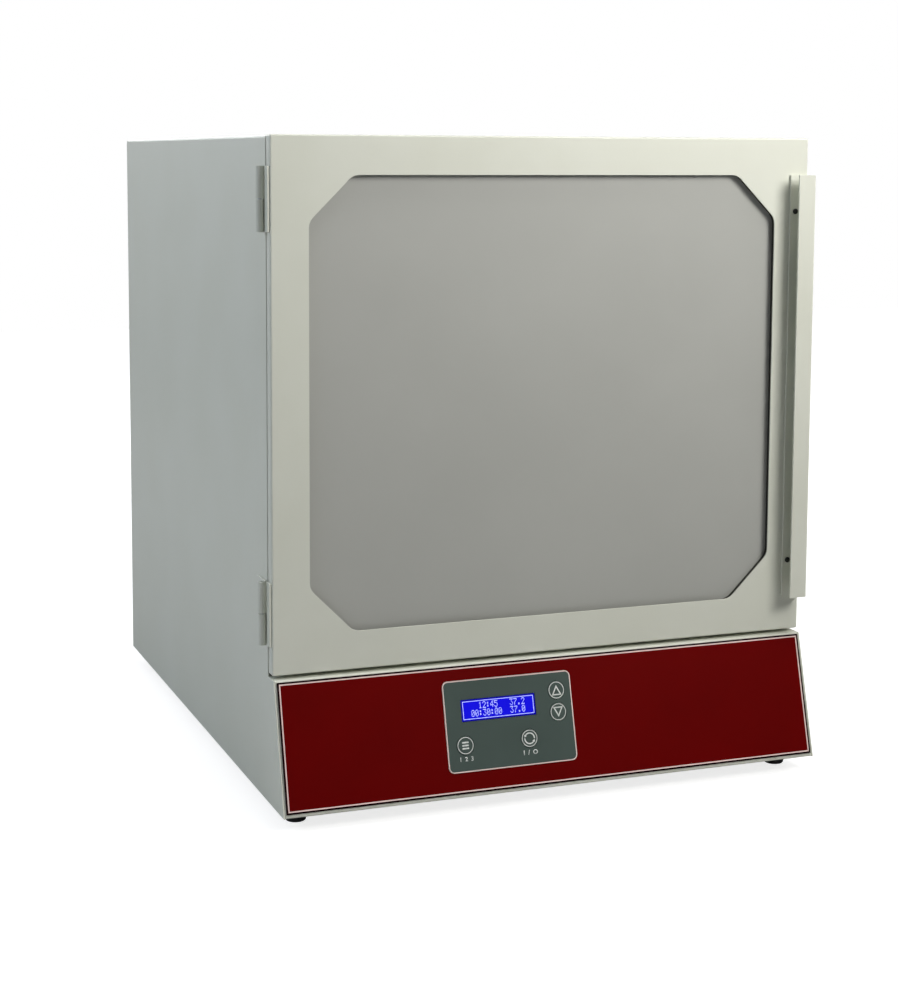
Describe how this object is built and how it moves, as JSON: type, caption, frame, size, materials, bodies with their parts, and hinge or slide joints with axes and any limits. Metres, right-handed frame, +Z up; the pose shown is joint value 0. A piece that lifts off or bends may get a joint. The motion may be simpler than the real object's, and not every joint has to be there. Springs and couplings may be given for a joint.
{
  "type": "forced air incubator",
  "caption": "Bench cabinet with a full-front door hinged at the left, a cut-cornered window, a full-height channel pull and a sloped control fascia.",
  "frame": {"origin": "centre of the whole part's footprint box, at the feet's undersides", "axes": "+X to the right seen from the front, +Y from the door to the rear, +Z up"},
  "size_m": [0.4648, 0.5584, 0.5232],
  "materials": {
    "putty_enamel": "putty powder-coat enamel, fine texture",
    "maroon_overlay": "satin screen-printed film, maroon",
    "slate_keypad": "satin screen-printed film, slate green",
    "display_blue": "blue character display behind clear film",
    "key_film": "satin film, slate green",
    "window_grey": "grey-tinted window sheet, satin",
    "black_rubber": "black rubber",
    "grey_silicone": "grey silicone",
    "stainless": "brushed stainless steel",
    "zinc_steel": "zinc-plated steel",
    "aluminium": "pressed aluminium",
    "glass_wool": "glass wool",
    "black_plastic": "black moulded plastic",
    "red_plastic": "red moulded plastic",
    "circuit_board": "green circuit board"
  },
  "bodies": {
    "cabinet": {"air_baffle": "stainless", "base_pan": "zinc_steel", "cabinet_wrap": "putty_enamel", "chamber_insulation": "glass_wool", "chamber_liner": "stainless", "control_board": "circuit_board", "control_fascia": "putty_enamel", "deck_plate": "zinc_steel", "display_module": "display_blue", "face_frame": "putty_enamel", "fan_motor": "zinc_steel", "fascia_overlay": "maroon_overlay", "foot_front_left": "black_rubber", "foot_front_right": "black_rubber", "foot_rear_left": "black_rubber", "foot_rear_right": "black_rubber", "fuse_holder": "black_plastic", "heater_element": "stainless", "hinge_lower_cabinet_leaf": "putty_enamel", "hinge_lower_pin": "zinc_steel", "hinge_screw_1": "zinc_steel", "hinge_screw_2": "zinc_steel", "hinge_screw_3": "zinc_steel", "hinge_screw_4": "zinc_steel", "hinge_upper_cabinet_leaf": "putty_enamel", "hinge_upper_pin": "zinc_steel", "keypad_panel": "slate_keypad", "magnetic_catch_lower": "black_plastic", "magnetic_catch_upper": "black_plastic", "power_board": "circuit_board", "power_inlet": "black_plastic", "power_switch": "black_plastic", "rear_bulkhead": "zinc_steel", "rear_frame": "zinc_steel", "rear_panel": "putty_enamel", "safety_thermostat": "aluminium", "shelf_ladder_left": "stainless", "shelf_ladder_right": "stainless", "temperature_probe": "stainless"},
    "door": {"door_skin": "putty_enamel", "window_seal": "black_rubber", "window_pane": "window_grey", "door_insulation": "glass_wool", "door_inner_panel": "stainless", "door_gasket": "grey_silicone", "catch_strike": "zinc_steel", "door_handle": "putty_enamel", "handle_screw_lower": "black_plastic", "handle_screw_upper": "black_plastic", "hinge_upper_door_leaf": "putty_enamel", "hinge_lower_door_leaf": "putty_enamel"},
    "fan": {"fan_wheel": "aluminium", "fan_shaft": "zinc_steel"},
    "key_up": {"key_up": "key_film"},
    "key_down": {"key_down": "key_film"},
    "key_mode": {"key_mode": "key_film"},
    "key_start": {"key_start": "key_film"},
    "power_rocker": {"power_rocker": "red_plastic"},
    "shelf_lower": {"shelf_lower": "stainless"},
    "shelf_upper": {"shelf_upper": "stainless"}
  },
  "joints": [
    {"name": "door_hinge", "type": "hinge", "parent": "cabinet", "child": "door", "pos_m": [-0.22935, -0.23795, 0.3], "axis": [0, 0, -1], "range_deg": [0, 180]},
    {"name": "fan_spin", "type": "hinge", "parent": "cabinet", "child": "fan", "pos_m": [0.00395, 0.18795, 0.3166], "axis": [0, 1, 0], "continuous": true},
    {"name": "key_up_press", "type": "slide", "parent": "cabinet", "child": "key_up", "axis": [0, 0.9654, -0.2608], "range_m": [0, 0.0004], "stiffness_N_per_m": 800},
    {"name": "key_down_press", "type": "slide", "parent": "cabinet", "child": "key_down", "axis": [0, 0.9654, -0.2608], "range_m": [0, 0.0004], "stiffness_N_per_m": 800},
    {"name": "key_mode_press", "type": "slide", "parent": "cabinet", "child": "key_mode", "axis": [0, 0.9654, -0.2608], "range_m": [0, 0.0004], "stiffness_N_per_m": 800},
    {"name": "key_start_press", "type": "slide", "parent": "cabinet", "child": "key_start", "axis": [0, 0.9654, -0.2608], "range_m": [0, 0.0004], "stiffness_N_per_m": 800},
    {"name": "power_rocker_tip", "type": "hinge", "parent": "cabinet", "child": "power_rocker", "pos_m": [0.09395, 0.26795, 0.062], "axis": [1, 0, 0], "range_deg": [0, 16]},
    {"name": "shelf_lower_slide", "type": "slide", "parent": "cabinet", "child": "shelf_lower", "axis": [0, -1, 0], "range_m": [0, 0.19]},
    {"name": "shelf_upper_slide", "type": "slide", "parent": "cabinet", "child": "shelf_upper", "axis": [0, -1, 0], "range_m": [0, 0.19]}
  ],
  "couplings": [
    {"joint": "shelf_lower_slide", "follows": "door_hinge", "m_per_rad": 0.06},
    {"joint": "shelf_upper_slide", "follows": "door_hinge", "m_per_rad": 0.06}
  ]
}
